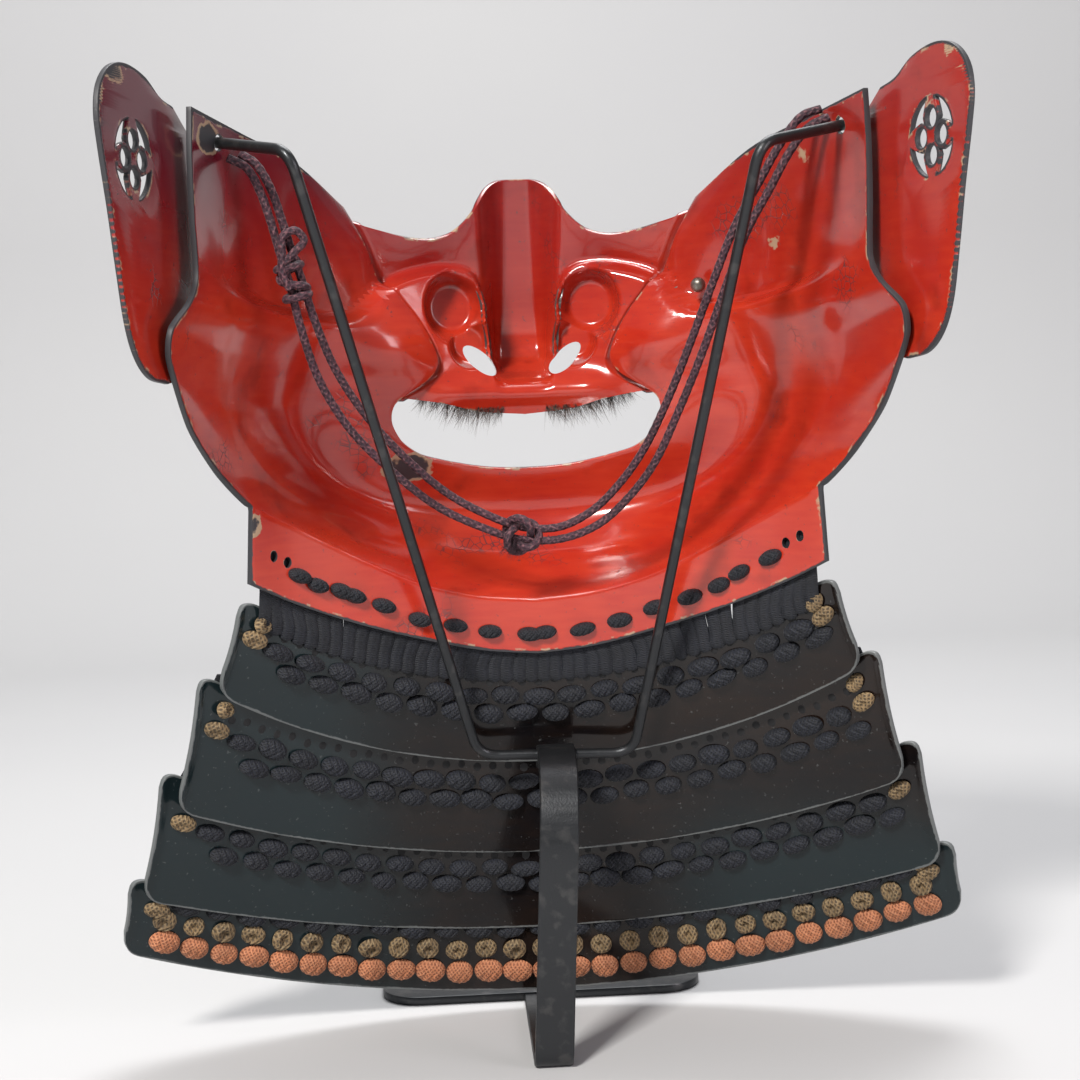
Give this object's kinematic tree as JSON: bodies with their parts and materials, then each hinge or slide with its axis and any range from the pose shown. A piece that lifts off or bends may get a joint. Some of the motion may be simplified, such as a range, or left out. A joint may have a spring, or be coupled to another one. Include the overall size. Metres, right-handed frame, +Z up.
{
  "type": "samurai face guard on wire stand",
  "caption": "Red-lacquered half mask with nose, moustache and pierced ear plates, a laced throat guard of curved lames, and the wire stand that holds it.",
  "frame": {"origin": "underside of the stand's foot strap, on the floor below the middle of the face", "axes": "+X to the wearer's right, +Y forward, the way the face looks, +Z up"},
  "size_m": [0.2344, 0.175, 0.2598],
  "materials": {
    "red_lacquer": "gloss",
    "black_lacquer": "gloss",
    "blackened_iron": "satin",
    "peg_metal": "worn",
    "navy_silk": "braided silk",
    "purple_cord": "braided silk",
    "grey_hair": "bristle"
  },
  "bodies": {
    "root": {"mask_body": "red_lacquer", "nose_piece": "red_lacquer", "nose_peg": "peg_metal", "ear_plate_left": "red_lacquer", "ear_plate_right": "red_lacquer", "moustache_left": "grey_hair", "moustache_right": "grey_hair", "lame_1": "black_lacquer", "lame_2": "black_lacquer", "lame_3": "black_lacquer", "lame_4": "black_lacquer", "lacing_1": "navy_silk", "lacing_2": "navy_silk", "lacing_3": "navy_silk", "lacing_4": "navy_silk", "stand": "blackened_iron", "cord_lower": "purple_cord", "cord_upper": "purple_cord", "side_knot": "purple_cord", "centre_knot": "purple_cord"}
  },
  "joints": []
}
